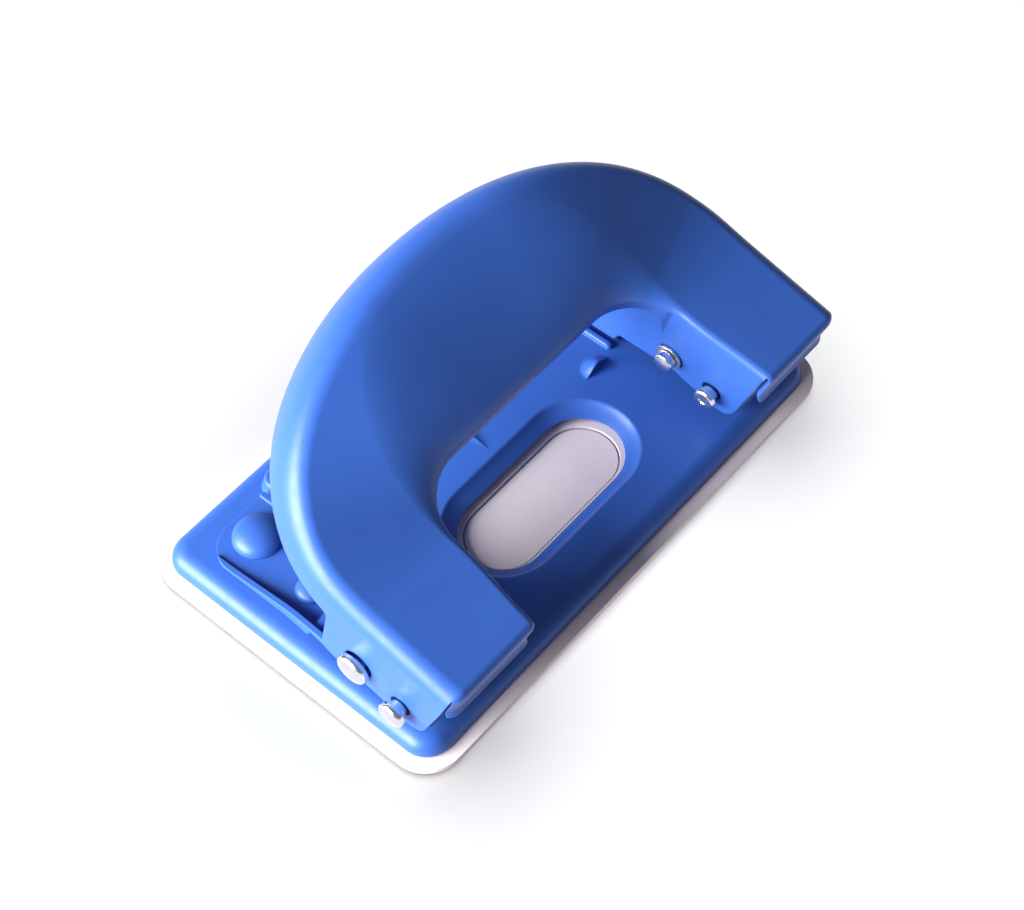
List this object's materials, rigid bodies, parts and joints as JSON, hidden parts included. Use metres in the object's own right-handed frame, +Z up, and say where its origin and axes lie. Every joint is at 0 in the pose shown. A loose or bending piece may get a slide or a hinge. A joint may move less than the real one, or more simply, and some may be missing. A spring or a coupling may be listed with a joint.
{
  "type": "hole punch",
  "caption": "Desk paper punch with a pressed steel base, an arched lever handle, sprung punch units and a pull-off chip tray.",
  "frame": {"origin": "bottom centre of the whole punch, on the table, with the handle up", "axes": "+X along the length of the base, +Y from the paper edge to the back, +Z up"},
  "size_m": [0.1064, 0.0681, 0.0504],
  "materials": {
    "blue_paint": "satin blue paint on pressed steel",
    "tray_plastic": "off-white moulded plastic",
    "bright_steel": "bright plated steel",
    "ground_steel": "ground tool steel",
    "spring_wire": "drawn spring wire"
  },
  "bodies": {
    "tray": {"chip_tray": "tray_plastic"},
    "base": {"base_plate": "blue_paint", "bracket_left": "blue_paint", "hinge_pin_left": "bright_steel", "return_spring_left": "spring_wire", "die_left": "ground_steel", "back_rivet_left": "blue_paint", "front_rivet_left": "blue_paint", "bracket_right": "blue_paint", "hinge_pin_right": "bright_steel", "return_spring_right": "spring_wire", "die_right": "ground_steel", "back_rivet_right": "blue_paint", "front_rivet_right": "blue_paint"},
    "lever": {"handle": "blue_paint"},
    "punch_left": {"punch_left": "ground_steel", "cross_pin_left": "bright_steel", "cross_pin_clip_left": "bright_steel"},
    "punch_right": {"punch_right": "ground_steel", "cross_pin_right": "bright_steel", "cross_pin_clip_right": "bright_steel"}
  },
  "joints": [
    {"name": "tray_release", "type": "slide", "parent": "tray", "child": "base", "axis": [0, 0, 1], "range_m": [0, 0.015]},
    {"name": "handle_press", "type": "hinge", "parent": "base", "child": "lever", "pos_m": [0, -0.02211, 0.0124], "axis": [-1, 0, 0], "range_deg": [0, 24], "stiffness_Nm_per_rad": 0.4, "springref_deg": -28.65, "deforming": ["return_spring_left", "return_spring_right"]},
    {"name": "punch_stroke_left", "type": "slide", "parent": "base", "child": "punch_left", "axis": [0, 0, -1], "range_m": [0, 0.0038]},
    {"name": "punch_stroke_right", "type": "slide", "parent": "base", "child": "punch_right", "axis": [0, 0, -1], "range_m": [0, 0.0038]}
  ],
  "couplings": [
    {"joint": "punch_stroke_left", "follows": "handle_press", "m_per_rad": 0.009072},
    {"joint": "punch_stroke_right", "follows": "handle_press", "m_per_rad": 0.009072}
  ]
}
